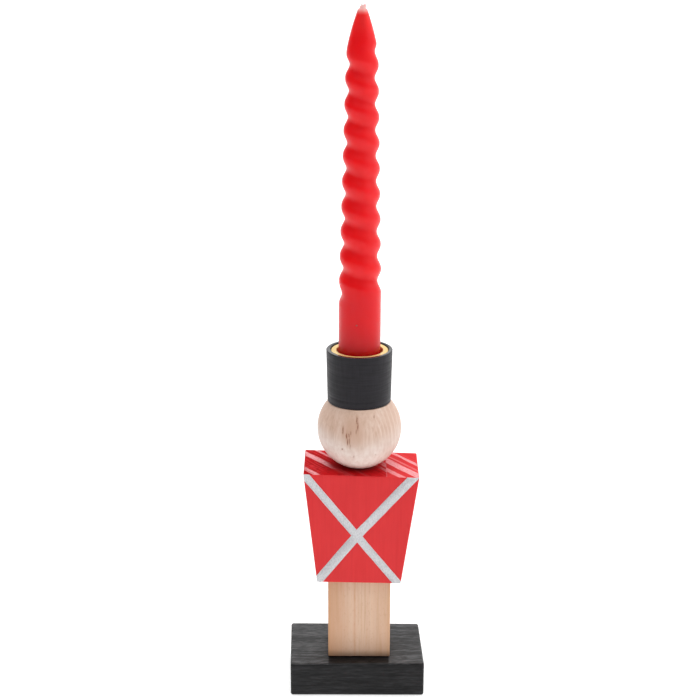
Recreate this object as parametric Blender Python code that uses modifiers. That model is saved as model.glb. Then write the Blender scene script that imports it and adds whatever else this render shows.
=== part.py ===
"""A painted wooden soldier that holds one spiral taper candle.

The figure stands on its base block with its front towards -Y. The origin is the middle of the base's
underside. Every length is in metres and every angle in radians.
"""

import math

import bmesh
import bpy
from mathutils import Matrix

OBJECT_NAME = "soldier_candle_holder"

# Driving dimensions.
GAP = 0.0003  # left between pieces that touch

BASE_WIDTH = 0.074
BASE_DEPTH = 0.046
BASE_HEIGHT = 0.020
BASE_EDGE = 0.0010

STACK_X = 0.0008  # the figure is glued this far right of the base's middle

LEG_WIDTH = 0.0344
LEG_DEPTH = 0.0322
LEG_HEIGHT = 0.047
LEG_EDGE = 0.0005

TORSO_BOTTOM_WIDTH = 0.0458
TORSO_TOP_WIDTH = 0.0622
TORSO_DEPTH = 0.038
TORSO_HEIGHT = 0.0627
TORSO_EDGE = 0.0006
TORSO_LEAN = math.radians(1.0)  # the torso block's hand-cut ends tip it to the right

HEAD_RADIUS = 0.0227
HEAD_SEAT = 0.0006  # height of the flat under the ball
HAT_SEAT_RADIUS = 0.0171  # the flat on the ball that the hat is glued to

HAT_BOTTOM_RADIUS = 0.0171
HAT_TOP_RADIUS = 0.01775
HAT_HEIGHT = 0.029
HAT_RIM_EDGE = 0.0009
HAT_FOOT_EDGE = 0.0003

CUP_BORE_RADIUS = 0.01245
CUP_WALL = 0.0006
CUP_DEPTH = 0.0195
CUP_FLANGE_RADIUS = 0.0154
CUP_FLANGE_THICKNESS = 0.0009
CUP_SUNK = 0.0004  # the flange's top lies this far below the hat's rim
CUP_LIP_EDGE = 0.0005

CANDLE_RADIUS = 0.011
CANDLE_LEAN = math.radians(0.25)  # it stands a little loose in the cup
CANDLE_LENGTH = 0.1962
CANDLE_FOOT_EDGE = 0.0006
SPIRAL_PITCH = 0.01329  # one left-handed groove
SPIRAL_DEPTH = 0.0020
SPIRAL_FROM = 0.0430  # the groove fades in over this stretch, measured from the candle's foot
SPIRAL_FULL = 0.0500
TAPER_FROM = 0.0560
TAPER_SLOPE = 0.0265  # radius lost for each unit of height
CONE_SLOPE = 0.265
TIP_RADIUS = 0.0026
SPIRAL_TOP_GROOVE = 0.1755  # height of the highest groove on the +X side, from the candle's foot

WICK_RADIUS = 0.0009
WICK_ABOVE_TIP = 0.0022

LEG_DOWEL_RADIUS = 0.003
LEG_DOWEL_LENGTH = 0.024
NECK_DOWEL_RADIUS = 0.004
NECK_DOWEL_LENGTH = 0.024
DOWEL_EDGE = 0.0005
FASTENER_SPREAD = 0.009  # the leg's dowels and screws stand this far either side of its middle

BASE_SCREW_RADIUS = 0.002
BASE_SCREW_HEAD_RADIUS = 0.004
BASE_SCREW_LENGTH = 0.040
BASE_SCREW_SUNK = 0.0008
SCREW_TIP = 0.004

CUP_SCREW_RADIUS = 0.0018
CUP_SCREW_HEAD_RADIUS = 0.0035
CUP_SCREW_HEAD_HEIGHT = 0.0014
CUP_SCREW_LENGTH = 0.026

# How finely the round pieces are faceted.
TURNED_STEPS = 48
SMALL_STEPS = 24
ARC_STEPS = 4
BALL_ARC_STEPS = 22
WAX_SEGMENTS = 28
RINGS_PER_TURN = 8

# Heights that follow from the driving dimensions.
LEG_BOTTOM = BASE_HEIGHT + GAP
LEG_TOP = LEG_BOTTOM + LEG_HEIGHT
TORSO_BOTTOM = LEG_TOP + GAP
TORSO_TOP = TORSO_BOTTOM + TORSO_HEIGHT
HEAD_BOTTOM = TORSO_TOP + GAP
HEAD_CENTRE = HEAD_BOTTOM + HEAD_RADIUS - HEAD_SEAT
HEAD_TOP = HEAD_CENTRE + math.sqrt(HEAD_RADIUS**2 - HAT_SEAT_RADIUS**2)
HAT_BOTTOM = HEAD_TOP + GAP
HAT_TOP = HAT_BOTTOM + HAT_HEIGHT
FLANGE_TOP = HAT_TOP - CUP_SUNK
FLANGE_BOTTOM = FLANGE_TOP - CUP_FLANGE_THICKNESS
CUP_FLOOR = FLANGE_TOP - CUP_DEPTH
CUP_BOTTOM = CUP_FLOOR - CUP_WALL
CUP_OUTER_RADIUS = CUP_BORE_RADIUS + CUP_WALL
CUP_SCREW_TOP = CUP_FLOOR + GAP + CUP_SCREW_HEAD_HEIGHT
CANDLE_BOTTOM = CUP_SCREW_TOP + GAP
LEG_DOWEL_BOTTOM = (LEG_TOP + TORSO_BOTTOM - LEG_DOWEL_LENGTH) / 2
NECK_DOWEL_BOTTOM = (TORSO_TOP + HEAD_BOTTOM - NECK_DOWEL_LENGTH) / 2

BLACK_STAIN = (0.028, 0.028, 0.030, 1)
BLACK_PAINT = (0.030, 0.029, 0.032, 1)
PINE = (0.68, 0.44, 0.29, 1)
PALE_WOOD = (0.70, 0.52, 0.42, 1)
RED_PAINT = (0.66, 0.045, 0.050, 1)
BEECH = (0.60, 0.42, 0.26, 1)
BRASS = (0.86, 0.60, 0.18, 1)
STEEL = (0.56, 0.57, 0.58, 1)
RED_WAX = (0.70, 0.012, 0.020, 1)
COTTON = (0.74, 0.70, 0.66, 1)


def clear_scene():
    for obj in list(bpy.data.objects):
        bpy.data.objects.remove(obj, do_unlink=True)


def new_collection(name, rendered=True):
    collection = bpy.data.collections.new(name)
    bpy.context.scene.collection.children.link(collection)
    collection.hide_render = not rendered
    return collection


def principled(name, colour, roughness, metallic=0.0):
    material = bpy.data.materials.new(name)
    material.use_nodes = True
    shader = material.node_tree.nodes["Principled BSDF"]
    shader.inputs["Base Color"].default_value = colour
    shader.inputs["Roughness"].default_value = roughness
    shader.inputs["Metallic"].default_value = metallic
    return material


def add_object(name, shape, collection, location=(0, 0, 0), material=None):
    """An object made from a bmesh, which it uses up."""
    mesh = bpy.data.meshes.new(name)
    shape.to_mesh(mesh)
    shape.free()
    obj = bpy.data.objects.new(name, mesh)
    collection.objects.link(obj)
    obj.location = location
    if material:
        mesh.materials.append(material)
    return obj


def round_edges(obj, width):
    bevel = obj.modifiers.new("rounded_edges", "BEVEL")
    bevel.width = width
    bevel.segments = 2
    bevel.limit_method = "ANGLE"


def smooth_round(obj):
    obj.data.shade_smooth()
    obj.data.set_sharp_from_angle(angle=math.radians(35))


def add_block(name, size, centre, edge, collection, material):
    shape = bmesh.new()
    bmesh.ops.create_cube(shape, size=1, matrix=Matrix.Diagonal((*size, 1)))
    obj = add_object(name, shape, collection, centre, material)
    round_edges(obj, edge)
    return obj


def add_turned(name, profile, collection, location=(0, 0, 0), material=None, steps=TURNED_STEPS, closed=False):
    """A piece turned about Z from (radius, height) points that run down its outer side."""
    shape = bmesh.new()
    points = [shape.verts.new((radius, 0, height)) for radius, height in profile]
    for upper, lower in zip(points, points[1:]):
        shape.edges.new((upper, lower))
    if closed:
        shape.edges.new((points[-1], points[0]))
    obj = add_object(name, shape, collection, location, material)
    turn = obj.modifiers.new("turned", "SCREW")
    turn.steps = steps
    turn.render_steps = steps
    turn.use_merge_vertices = True
    turn.merge_threshold = 0.00001
    turn.use_smooth_shade = True
    return obj


def arc(centre, radius, start, end, steps):
    """(radius, height) points on an arc, with the angles measured from straight out, upwards."""
    angles = [start + (end - start) * step / steps for step in range(steps + 1)]
    return [(centre[0] + radius * math.cos(a), centre[1] + radius * math.sin(a)) for a in angles]


def drill(obj, cutter):
    cut = obj.modifiers.new(cutter.name, "BOOLEAN")
    cut.operation = "DIFFERENCE"
    cut.solver = "EXACT"
    cut.object = cutter


def add_cutter(name, profile, cutters, location):
    """A turned solid that only takes material away."""
    obj = add_turned(name, profile, cutters, location, steps=SMALL_STEPS)
    obj.hide_render = True
    obj.display_type = "WIRE"
    return obj


def rod_profile(radius, bottom, top, edge=0.0):
    if not edge:
        return [(0, top), (radius, top), (radius, bottom), (0, bottom)]
    return [
        (0, top),
        (radius - edge, top),
        (radius, top - edge),
        (radius, bottom + edge),
        (radius - edge, bottom),
        (0, bottom),
    ]


def fastener_places():
    """(side name, X) of each dowel or screw in the leg."""
    return [("left", STACK_X - FASTENER_SPREAD), ("right", STACK_X + FASTENER_SPREAD)]


def make_base(parts, cutters):
    block = add_block(
        "base_block",
        (BASE_WIDTH, BASE_DEPTH, BASE_HEIGHT),
        (0, 0, BASE_HEIGHT / 2),
        BASE_EDGE,
        parts,
        principled("black_stained_wood", BLACK_STAIN, 0.62),
    )
    steel = principled("screw_steel", STEEL, 0.35, 1.0)
    head_depth = BASE_SCREW_HEAD_RADIUS - BASE_SCREW_RADIUS
    tip = BASE_SCREW_SUNK + BASE_SCREW_LENGTH
    screw = [
        (0, tip),
        (BASE_SCREW_RADIUS, tip - SCREW_TIP),
        (BASE_SCREW_RADIUS, BASE_SCREW_SUNK + head_depth),
        (BASE_SCREW_HEAD_RADIUS, BASE_SCREW_SUNK),
        (0, BASE_SCREW_SUNK),
    ]
    room = [
        (0, tip + GAP),
        (BASE_SCREW_RADIUS + GAP, tip + GAP),
        (BASE_SCREW_RADIUS + GAP, BASE_SCREW_SUNK + head_depth + GAP),
        (BASE_SCREW_HEAD_RADIUS + GAP, BASE_SCREW_SUNK + GAP),
        (BASE_SCREW_HEAD_RADIUS + GAP, -GAP),
        (0, -GAP),
    ]
    holes = []
    for side, x in fastener_places():
        obj = add_turned(f"base_screw_{side}", screw, parts, (x, 0, 0), steel, SMALL_STEPS)
        smooth_round(obj)
        hole = add_cutter(f"base_screw_hole_{side}", room, cutters, (x, 0, 0))
        drill(block, hole)
        holes.append(hole)
    return holes


def make_leg(parts, cutters, screw_holes):
    """The leg block, with its top cut square to the leaning torso, and its two dowels."""
    leg = add_block(
        "leg_block",
        (LEG_WIDTH, LEG_DEPTH, LEG_HEIGHT),
        (STACK_X, 0, LEG_BOTTOM + LEG_HEIGHT / 2),
        LEG_EDGE,
        parts,
        principled("natural_pine", PINE, 0.55),
    )
    for vertex in leg.data.vertices:
        if vertex.co.z > 0:
            vertex.co.z -= vertex.co.x * math.tan(TORSO_LEAN)
    beech = principled("dowel_beech", BEECH, 0.6)
    rod = rod_profile(LEG_DOWEL_RADIUS, 0, LEG_DOWEL_LENGTH, DOWEL_EDGE)
    room = rod_profile(LEG_DOWEL_RADIUS + GAP, -GAP, LEG_DOWEL_LENGTH + GAP)
    holes = []
    for side, x in fastener_places():
        place = (x, 0, LEG_DOWEL_BOTTOM)
        dowel = add_turned(f"leg_dowel_{side}", rod, parts, place, beech, SMALL_STEPS)
        smooth_round(dowel)
        holes.append(add_cutter(f"leg_dowel_hole_{side}", room, cutters, place))
    for hole in screw_holes + holes:
        drill(leg, hole)
    return holes


def make_torso(parts, cutters, leg_holes):
    """The tapered red block, leaning about the middle of its foot, and the dowel in its neck."""
    foot = bpy.data.objects.new("torso_foot", None)
    parts.objects.link(foot)
    foot.location = (STACK_X, 0, TORSO_BOTTOM)
    foot.rotation_euler.y = TORSO_LEAN
    torso = add_block(
        "torso_block",
        (TORSO_BOTTOM_WIDTH, TORSO_DEPTH, TORSO_HEIGHT),
        (0, 0, TORSO_HEIGHT / 2),
        TORSO_EDGE,
        parts,
        principled("red_painted_wood", RED_PAINT, 0.5),
    )
    torso.parent = foot
    for vertex in torso.data.vertices:
        if vertex.co.z > 0:
            vertex.co.x *= TORSO_TOP_WIDTH / TORSO_BOTTOM_WIDTH
    place = (STACK_X, 0, NECK_DOWEL_BOTTOM)
    dowel = add_turned(
        "neck_dowel",
        rod_profile(NECK_DOWEL_RADIUS, 0, NECK_DOWEL_LENGTH, DOWEL_EDGE),
        parts,
        place,
        principled("neck_dowel_beech", BEECH, 0.6),
        SMALL_STEPS,
    )
    smooth_round(dowel)
    room = rod_profile(NECK_DOWEL_RADIUS + GAP, -GAP, NECK_DOWEL_LENGTH + GAP)
    neck_hole = add_cutter("neck_dowel_hole", room, cutters, place)
    for hole in leg_holes + [neck_hole]:
        drill(torso, hole)
    return neck_hole


def make_cup_screw(parts, cutters):
    """The one screw that holds the cup and the hat to the head."""
    head_bottom = CUP_SCREW_TOP - CUP_SCREW_HEAD_HEIGHT
    tip = head_bottom - CUP_SCREW_LENGTH
    dome = CUP_SCREW_HEAD_HEIGHT / 2
    profile = [
        (0, CUP_SCREW_TOP),
        (CUP_SCREW_HEAD_RADIUS - dome, CUP_SCREW_TOP),
        (CUP_SCREW_HEAD_RADIUS, CUP_SCREW_TOP - dome),
        (CUP_SCREW_HEAD_RADIUS, head_bottom),
        (CUP_SCREW_RADIUS, head_bottom),
        (CUP_SCREW_RADIUS, tip + SCREW_TIP),
        (0, tip),
    ]
    steel = principled("cup_screw_steel", STEEL, 0.3, 1.0)
    screw = add_turned("cup_screw", profile, parts, (STACK_X, 0, 0), steel, SMALL_STEPS)
    smooth_round(screw)
    room = rod_profile(CUP_SCREW_RADIUS + GAP, tip - GAP, CUP_FLOOR)
    return add_cutter("cup_screw_hole", room, cutters, (STACK_X, 0, 0))


def make_head(parts, neck_hole, screw_hole):
    top_angle = math.asin((HEAD_TOP - HEAD_CENTRE) / HEAD_RADIUS)
    bottom_angle = math.asin((HEAD_BOTTOM - HEAD_CENTRE) / HEAD_RADIUS)
    side = arc((0, HEAD_CENTRE), HEAD_RADIUS, top_angle, bottom_angle, BALL_ARC_STEPS)
    profile = [(0, HEAD_TOP), *side, (0, HEAD_BOTTOM)]
    head = add_turned(
        "head_ball",
        profile,
        parts,
        (STACK_X, 0, 0),
        principled("natural_pale_wood", PALE_WOOD, 0.5),
    )
    smooth_round(head)
    drill(head, neck_hole)
    drill(head, screw_hole)


def make_hat(parts, screw_hole):
    """The turned hat, with the socket and the shallow recess that the cup sits in."""
    socket_floor = CUP_BOTTOM - GAP
    socket_radius = CUP_OUTER_RADIUS + GAP
    recess_floor = FLANGE_BOTTOM - GAP
    recess_radius = CUP_FLANGE_RADIUS + GAP
    rim_centre = (HAT_TOP_RADIUS - HAT_RIM_EDGE, HAT_TOP - HAT_RIM_EDGE)
    foot_centre = (HAT_BOTTOM_RADIUS - HAT_FOOT_EDGE, HAT_BOTTOM + HAT_FOOT_EDGE)
    profile = [
        (0, socket_floor),
        (socket_radius, socket_floor),
        (socket_radius, recess_floor),
        (recess_radius, recess_floor),
        (recess_radius, HAT_TOP),
        *arc(rim_centre, HAT_RIM_EDGE, math.pi / 2, 0, ARC_STEPS),
        *arc(foot_centre, HAT_FOOT_EDGE, 0, -math.pi / 2, 2),
        (0, HAT_BOTTOM),
    ]
    hat = add_turned(
        "hat_block",
        profile,
        parts,
        (STACK_X, 0, 0),
        principled("black_painted_wood", BLACK_PAINT, 0.6),
    )
    smooth_round(hat)
    drill(hat, screw_hole)


def make_cup(parts):
    lip_centre = (CUP_BORE_RADIUS + CUP_LIP_EDGE, FLANGE_TOP - CUP_LIP_EDGE)
    hole_radius = CUP_SCREW_RADIUS + GAP
    profile = [
        (hole_radius, CUP_FLOOR),
        (CUP_BORE_RADIUS, CUP_FLOOR),
        *arc(lip_centre, CUP_LIP_EDGE, math.pi, math.pi / 2, ARC_STEPS),
        (CUP_FLANGE_RADIUS, FLANGE_TOP),
        (CUP_FLANGE_RADIUS, FLANGE_BOTTOM),
        (CUP_OUTER_RADIUS, FLANGE_BOTTOM),
        (CUP_OUTER_RADIUS, CUP_BOTTOM),
        (hole_radius, CUP_BOTTOM),
    ]
    brass = principled("brass_plate", BRASS, 0.22, 1.0)
    cup = add_turned("candle_cup", profile, parts, (STACK_X, 0, 0), brass, closed=True)
    smooth_round(cup)


def smooth_step(value):
    value = min(max(value, 0.0), 1.0)
    return value * value * (3 - 2 * value)


def wax_radius(angle, height):
    """The candle's radius at an angle about its axis and a height above its foot."""
    crest = CANDLE_RADIUS - TAPER_SLOPE * max(height - TAPER_FROM, 0.0)
    turn = ((height - SPIRAL_TOP_GROOVE) / SPIRAL_PITCH + angle / math.tau) % 1.0
    groove = SPIRAL_DEPTH * (2 * turn - 1) ** 2
    groove *= smooth_step((height - SPIRAL_FROM) / (SPIRAL_FULL - SPIRAL_FROM))
    cone = TIP_RADIUS + CONE_SLOPE * (CANDLE_LENGTH - height)
    return min(crest - groove, cone)


def ring_heights():
    """Heights of the rings that the candle is lofted through."""
    step = SPIRAL_PITCH / RINGS_PER_TURN
    count = round((CANDLE_LENGTH - SPIRAL_FROM) / step)
    spiral = [SPIRAL_FROM + (CANDLE_LENGTH - SPIRAL_FROM) * i / count for i in range(count + 1)]
    return [CANDLE_FOOT_EDGE] + spiral


def make_candle(parts, cutters):
    """The wax, lofted through rings that follow the spiral groove, and the wick in its middle."""
    shape = bmesh.new()
    angles = [math.tau * i / WAX_SEGMENTS for i in range(WAX_SEGMENTS)]

    def ring(height, inset=0.0):
        radii = [wax_radius(angle, height) - inset for angle in angles]
        return [
            shape.verts.new((r * math.cos(angle), r * math.sin(angle), height))
            for r, angle in zip(radii, angles)
        ]

    foot = ring(0.0, CANDLE_FOOT_EDGE)
    rings = [foot] + [ring(height) for height in ring_heights()]
    for lower, upper in zip(rings, rings[1:]):
        for i in range(WAX_SEGMENTS):
            j = (i + 1) % WAX_SEGMENTS
            shape.faces.new((lower[i], lower[j], upper[j], upper[i]))
    shape.faces.new(reversed(foot))
    shape.faces.new(rings[-1])
    stand = bpy.data.objects.new("candle_foot", None)
    parts.objects.link(stand)
    stand.location = (STACK_X, 0, CANDLE_BOTTOM)
    stand.rotation_euler.y = CANDLE_LEAN
    wax = add_object("candle_wax", shape, parts, material=principled("red_wax", RED_WAX, 0.4))
    wax.parent = stand
    smooth_round(wax)

    wick_top = CANDLE_LENGTH + WICK_ABOVE_TIP
    wick = add_turned(
        "candle_wick",
        rod_profile(WICK_RADIUS, GAP, wick_top),
        parts,
        material=principled("cotton_wick", COTTON, 0.9),
        steps=12,
    )
    wick.parent = stand
    smooth_round(wick)
    bore = add_cutter("wick_bore", rod_profile(WICK_RADIUS + GAP, -GAP, wick_top), cutters, (0, 0, 0))
    bore.parent = stand
    drill(wax, bore)


def main():
    clear_scene()
    parts = new_collection(OBJECT_NAME)
    cutters = new_collection("cutters", rendered=False)
    screw_holes = make_base(parts, cutters)
    leg_holes = make_leg(parts, cutters, screw_holes)
    neck_hole = make_torso(parts, cutters, leg_holes)
    cup_screw_hole = make_cup_screw(parts, cutters)
    make_head(parts, neck_hole, cup_screw_hole)
    make_hat(parts, cup_screw_hole)
    make_cup(parts)
    make_candle(parts, cutters)


main()
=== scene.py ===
"""The looks of a painted wooden soldier that holds a spiral taper candle.

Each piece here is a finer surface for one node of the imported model. Lengths are in metres and angles in
radians, unless a name ends in _MM. The figure's front is towards -Y.
"""

import math

import bmesh
import bpy
from mathutils import Matrix, Vector, noise


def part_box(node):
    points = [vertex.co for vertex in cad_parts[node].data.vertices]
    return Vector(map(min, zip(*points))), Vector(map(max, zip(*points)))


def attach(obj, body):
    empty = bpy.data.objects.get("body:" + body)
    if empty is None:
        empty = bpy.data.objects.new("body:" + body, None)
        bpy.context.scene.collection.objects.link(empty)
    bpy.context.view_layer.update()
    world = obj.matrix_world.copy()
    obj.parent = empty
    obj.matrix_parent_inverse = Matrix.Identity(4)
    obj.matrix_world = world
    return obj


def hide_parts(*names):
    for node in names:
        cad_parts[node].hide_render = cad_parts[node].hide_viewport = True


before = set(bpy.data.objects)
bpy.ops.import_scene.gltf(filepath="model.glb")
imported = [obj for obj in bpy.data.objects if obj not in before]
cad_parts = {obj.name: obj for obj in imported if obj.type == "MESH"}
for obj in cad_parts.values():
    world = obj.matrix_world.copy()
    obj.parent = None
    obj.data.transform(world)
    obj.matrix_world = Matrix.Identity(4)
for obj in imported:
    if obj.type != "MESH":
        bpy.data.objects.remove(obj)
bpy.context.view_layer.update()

MM = 0.001
GAP = 0.3 * MM  # what touching pieces leave between them
STACK_X = 0.8 * MM  # the axis of the leg, torso, head, hat and cup
UP = Vector((0, 0, 1))

# The base was sawn a little out of square.
BASE_WIDER = 0.7 * MM
BASE_DEEPER = 2.5 * MM
BASE_SHEAR = 1.3 * MM  # how far its back lies to the left
BASE_TWIST = 0.7 * MM
BASE_SCREWS = ("base_screw_left", "base_screw_right")
BASE_SCREW_SHANK = 2.0 * MM
BASE_SCREW_NECK = 1.7 * MM

LEG_WIDER = 0.2 * MM
LEG_SHIFT = 0.25 * MM
LEG_DOWELS = ("leg_dowel_left", "leg_dowel_right")

TORSO_BOTTOM_WIDTH = 46.2 * MM
TORSO_TOP_WIDTH = 62.9 * MM
TORSO_DEPTH = 38.0 * MM
TORSO_HEIGHT = 62.7 * MM
TORSO_EDGE = 0.6 * MM
TORSO_LEAN = math.radians(1.0)
TORSO_LIFT = 0.8 * MM  # how much higher its top is on the left
TORSO_BACK = 1.2 * MM  # how far its front leans back
BELT_SPREAD = 0.05 * MM  # how proud the belts' paint stands
BELT_FILM = 0.25 * MM

HEAD_FULLER = 0.3 * MM
HEAD_LOWER = 0.5 * MM

HAT_FOOT_RADIUS = 17.1 * MM
HAT_RIM_EDGE = 0.5 * MM
HAT_FOOT_EDGE = 0.35 * MM
HAT_FULLER = 0.3 * MM  # on its left
CUP_BORE_RADIUS = 12.45 * MM
CUP_WALL = 0.6 * MM
CUP_FLANGE_THICKNESS = 0.9 * MM
CUP_SCREW_SHANK = 1.8 * MM
THREAD_STEP = 0.16 * MM  # between the rings of points up a screw's thread

CANDLE_X = STACK_X - 0.2 * MM  # the candle stands a little loose in its cup
CANDLE_LEAN = math.radians(0.25)
CANDLE_RADIUS = 11.25 * MM
CANDLE_LENGTH = 196.2 * MM
SPIRAL_PITCH = 13.29 * MM
SPIRAL_DEPTH = 2.05 * MM
SPIRAL_TOP_GROOVE = 175.5 * MM
GROOVE_START = (46.2 * MM, 50.5 * MM)  # the groove grows over this height
GROOVE_END = (174.0 * MM, 181.5 * MM)  # and runs out into the cone over this one
TAPER_FROM = 56.0 * MM
TAPER_SLOPE = 0.0247
TIP_RADIUS = 2.5 * MM
CONE_SLOPE = 0.355
CONE_CURVE = 4.0  # how fast the cone's slope eases below the tip, per metre
CONE_BLEND = 0.8 * MM
WICK_BORE = 0.95 * MM
WAX_SEGMENTS = 112
WAX_STEP = 0.42 * MM
LIP_HEIGHT = 2.2 * MM  # how far the wax climbs up the wick
LIP_RADIUS = 1.55 * MM
SPECK_RIGHT = -1.55 * MM  # a speck of ash on the wax, from the candle's axis
SPECK_UP = 34.1 * MM  # and from its foot


# ---- shapes


def smooth_step(value):
    value = min(max(value, 0.0), 1.0)
    return value * value * (3 - 2 * value)


def soft_min(a, b, blend):
    """The lower of two values, rounded off where they are less than blend apart."""
    near = max(blend - abs(a - b), 0.0) / blend
    return min(a, b) - near * near * blend / 4


def ripple(point, size, seed=0.0):
    """Smooth noise from -1 to 1 whose lumps are about this size."""
    return noise.noise(Vector(point) / size + Vector((seed, seed * 1.7, seed * 0.6)))


def even(start, stop, count):
    """Even steps from start to stop, with both ends."""
    return [start + (stop - start) * i / count for i in range(count + 1)]


def loft(rings, closed=False):
    """A skin over rings of points. The end rings are filled, or joined to each other if closed."""
    shape = bmesh.new()
    skin = [[shape.verts.new(point) for point in row] for row in rings]
    pairs = list(zip(skin, skin[1:]))
    if closed:
        pairs.append((skin[-1], skin[0]))
    for lower, upper in pairs:
        for i in range(len(lower)):
            j = (i + 1) % len(lower)
            shape.faces.new((lower[i], lower[j], upper[j], upper[i]))
    if not closed:
        shape.faces.new(reversed(skin[0]))
        shape.faces.new(skin[-1])
    return shape


def ring(radius, height, segments, centre=(0.0, 0.0)):
    """Points round Z; radius is a number or a function of the angle and the height."""
    points = []
    for i in range(segments):
        angle = math.tau * i / segments
        r = radius(angle, height) if callable(radius) else radius
        points.append((centre[0] + r * math.cos(angle), centre[1] + r * math.sin(angle), height))
    return points


def turned(profile, segments=160, x=STACK_X, closed=False):
    """A skin turned about the upright axis at (x, 0), from (radius, height) points up its outer side."""
    return loft([ring(r, z, segments, (x, 0.0)) for r, z in profile], closed)


def arc(centre, radius, start, end, steps):
    """(radius, height) points on an arc, with its angles measured from straight out, upwards."""
    angles = even(start, end, steps)
    return [(centre[0] + radius * math.cos(a), centre[1] + radius * math.sin(a)) for a in angles]


def grid_lines(half, edge, cell, edge_steps=4):
    """Places of the lines across one side of a block, closer together over its rounded edges."""
    flat = half - edge
    rise = [edge * math.tan(angle) for angle in even(0, math.pi / 4, edge_steps)[1:]]
    middle = even(-flat, flat, max(1, round(2 * flat / cell)))
    return [-flat - r for r in reversed(rise)] + middle + [flat + r for r in rise]


def block(size, edge, cell, wear):
    """A block about the origin with round, slightly worn edges and faces that aren't quite flat."""
    half = [side / 2 for side in size]
    lines = [grid_lines(h, edge, cell) for h in half]
    shape = bmesh.new()
    for axis in range(3):
        a, b = (axis + 1) % 3, (axis + 2) % 3
        for side in (-1, 1):
            rows = []
            for u in lines[a]:
                row = []
                for v in lines[b]:
                    point = [0.0, 0.0, 0.0]
                    point[axis], point[a], point[b] = side * half[axis], u, v
                    row.append(shape.verts.new(point))
                rows.append(row)
            for low, high in zip(rows, rows[1:]):
                for i in range(len(low) - 1):
                    corners = (low[i], high[i], high[i + 1], low[i + 1])
                    shape.faces.new(corners if side > 0 else reversed(corners))
    bmesh.ops.remove_doubles(shape, verts=shape.verts, dist=edge * 0.01)
    for vertex in shape.verts:
        inner = Vector([min(max(c, edge - h), h - edge) for c, h in zip(vertex.co, half)])
        out = (vertex.co - inner).normalized()
        roundness = 1 - max(abs(c) for c in out)
        dent = roundness * (1.2 + ripple(vertex.co, 6 * MM)) + 0.06 * (1 + ripple(vertex.co, 14 * MM, 3))
        vertex.co = inner + out * (edge - wear * dent)
    return shape


def split_top(shape, up):
    """Gives the faces that look up or down the object's second material."""
    shape.normal_update()
    for face in shape.faces:
        face.material_index = int(abs(face.normal.dot(up)) > 0.8)


def add_object(name, shape, material=None, sharp_from=35):
    mesh = bpy.data.meshes.new(name)
    shape.to_mesh(mesh)
    shape.free()
    mesh.shade_smooth()
    mesh.set_sharp_from_angle(angle=math.radians(sharp_from))
    if material:
        mesh.materials.append(material)
    obj = bpy.data.objects.new(name, mesh)
    bpy.context.scene.collection.objects.link(obj)
    return obj


def bake_modifiers(obj):
    """Makes the object's modifiers part of its mesh."""
    graph = bpy.context.evaluated_depsgraph_get()
    mesh = bpy.data.meshes.new_from_object(obj.evaluated_get(graph))
    obj.modifiers.clear()
    obj.data = mesh


def cut(obj, cutters):
    """Takes each bmesh in cutters away from the object."""
    for shape in cutters:
        cutter = add_object(f"{obj.name}_cutter", shape)
        boolean = obj.modifiers.new("cut", "BOOLEAN")
        boolean.operation = "DIFFERENCE"
        boolean.solver = "EXACT"
        boolean.object = cutter
        bake_modifiers(obj)
        bpy.data.objects.remove(cutter, do_unlink=True)


def place(obj, body, slot, *nodes):
    """Puts a finished piece on its CAD body in place of these nodes."""
    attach(obj, body)
    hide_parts(*nodes)


def round_node(name):
    """The X of an upright round CAD node's axis, its radius, and the heights of its foot and top."""
    low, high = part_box(name)
    return (low.x + high.x) / 2, (high.x - low.x) / 2, low.z, high.z


# ---- materials


SOCKETS = {
    "metallic": "Metallic",
    "roughness": "Roughness",
    "specular": "Specular IOR Level",
    "subsurface": "Subsurface Weight",
    "subsurface_radius": "Subsurface Radius",
    "subsurface_scale": "Subsurface Scale",
    "emission": "Emission Color",
    "emission_strength": "Emission Strength",
}


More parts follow.
